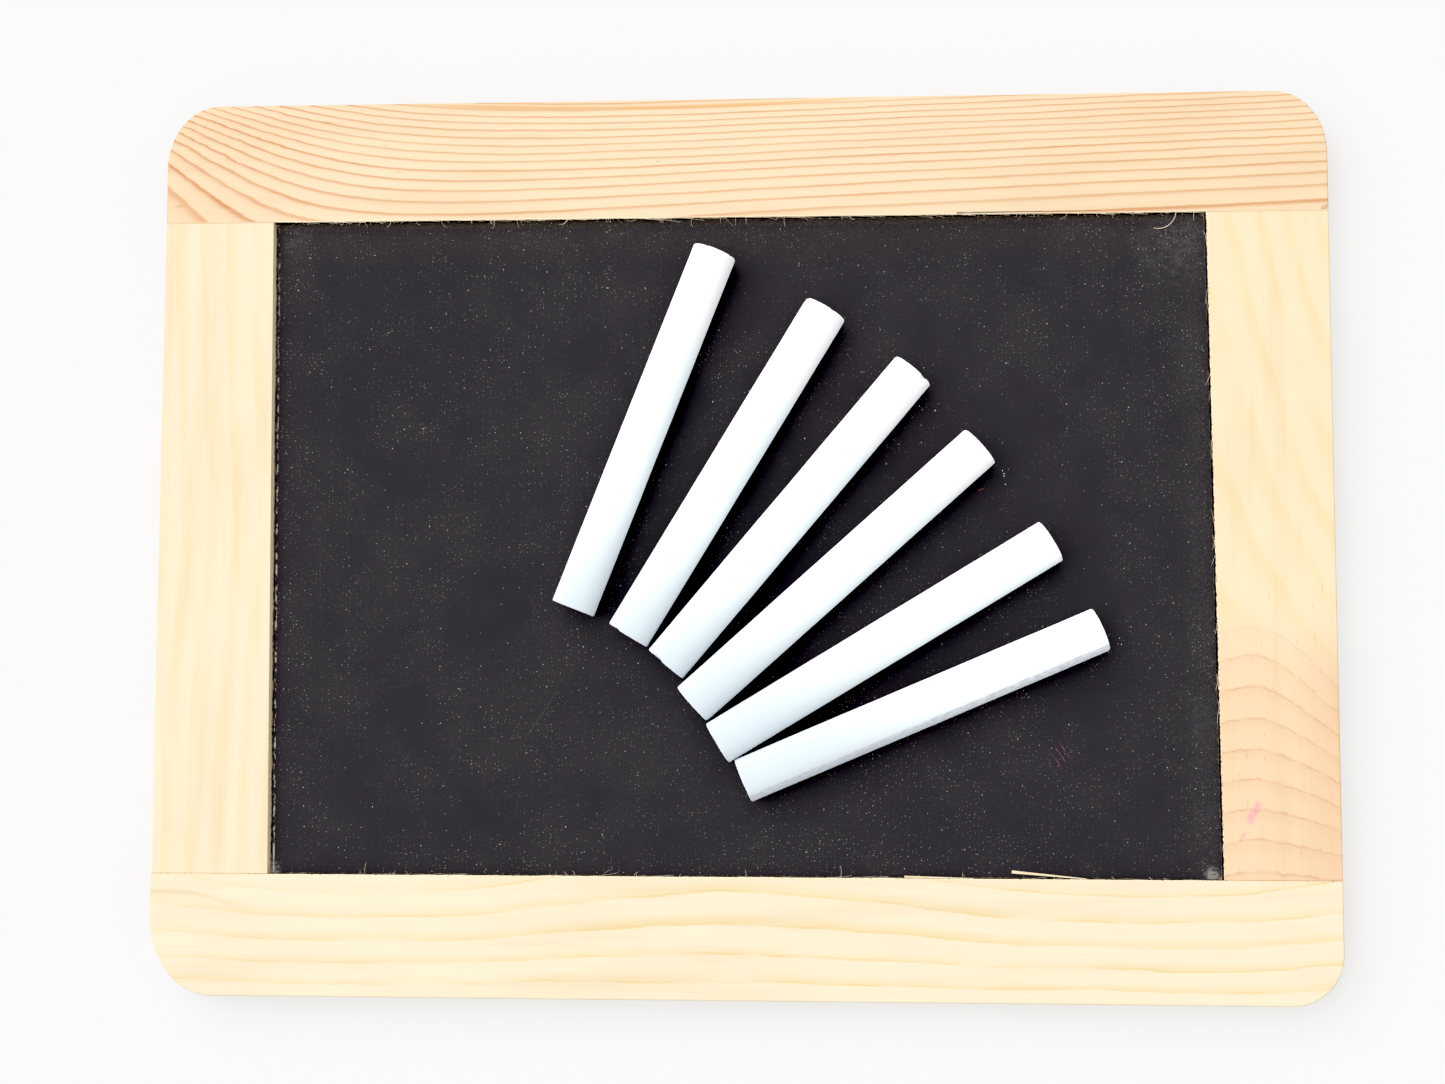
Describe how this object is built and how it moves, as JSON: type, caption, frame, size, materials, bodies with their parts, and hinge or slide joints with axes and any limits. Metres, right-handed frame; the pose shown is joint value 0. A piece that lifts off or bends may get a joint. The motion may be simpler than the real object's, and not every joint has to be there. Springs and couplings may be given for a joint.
{
  "type": "writing slate with chalk",
  "caption": "Small handheld writing slate: a dark painted board in a flat pine frame with rounded corners, with loose sticks of white chalk fanned out on it.",
  "frame": {"origin": "the middle of the back of the frame, on the surface that the slate lies on", "axes": "+X along the rails to the right as the board is read, +Y up the board, +Z out of the writing face"},
  "size_m": [0.246, 0.189, 0.0151],
  "materials": {
    "warm_pine": "satin",
    "pale_pine": "satin",
    "hardboard": "matte",
    "slate_paint": "matte",
    "brad_steel": "satin",
    "chalk": "matte"
  },
  "bodies": {
    "slate": {"top_rail": "warm_pine", "bottom_rail": "pale_pine", "left_stile": "pale_pine", "right_stile": "pale_pine", "backing_board": "hardboard", "writing_surface": "slate_paint", "corner_brad_top_left": "brad_steel", "corner_brad_top_right": "brad_steel", "corner_brad_bottom_right": "brad_steel", "corner_brad_bottom_left": "brad_steel"},
    "chalk_1": {"chalk_stick_1": "chalk"},
    "chalk_2": {"chalk_stick_2": "chalk"},
    "chalk_3": {"chalk_stick_3": "chalk"},
    "chalk_4": {"chalk_stick_4": "chalk"},
    "chalk_5": {"chalk_stick_5": "chalk"},
    "chalk_6": {"chalk_stick_6": "chalk"}
  },
  "joints": [
    {"name": "chalk_1_lift", "type": "slide", "parent": "slate", "child": "chalk_1", "axis": [0, 0, 1], "range_m": [0, 0.05]},
    {"name": "chalk_2_lift", "type": "slide", "parent": "slate", "child": "chalk_2", "axis": [0, 0, 1], "range_m": [0, 0.05]},
    {"name": "chalk_3_lift", "type": "slide", "parent": "slate", "child": "chalk_3", "axis": [0, 0, 1], "range_m": [0, 0.05]},
    {"name": "chalk_4_lift", "type": "slide", "parent": "slate", "child": "chalk_4", "axis": [0, 0, 1], "range_m": [0, 0.05]},
    {"name": "chalk_5_lift", "type": "slide", "parent": "slate", "child": "chalk_5", "axis": [0, 0, 1], "range_m": [0, 0.05]},
    {"name": "chalk_6_lift", "type": "slide", "parent": "slate", "child": "chalk_6", "axis": [0, 0, 1], "range_m": [0, 0.05]}
  ]
}
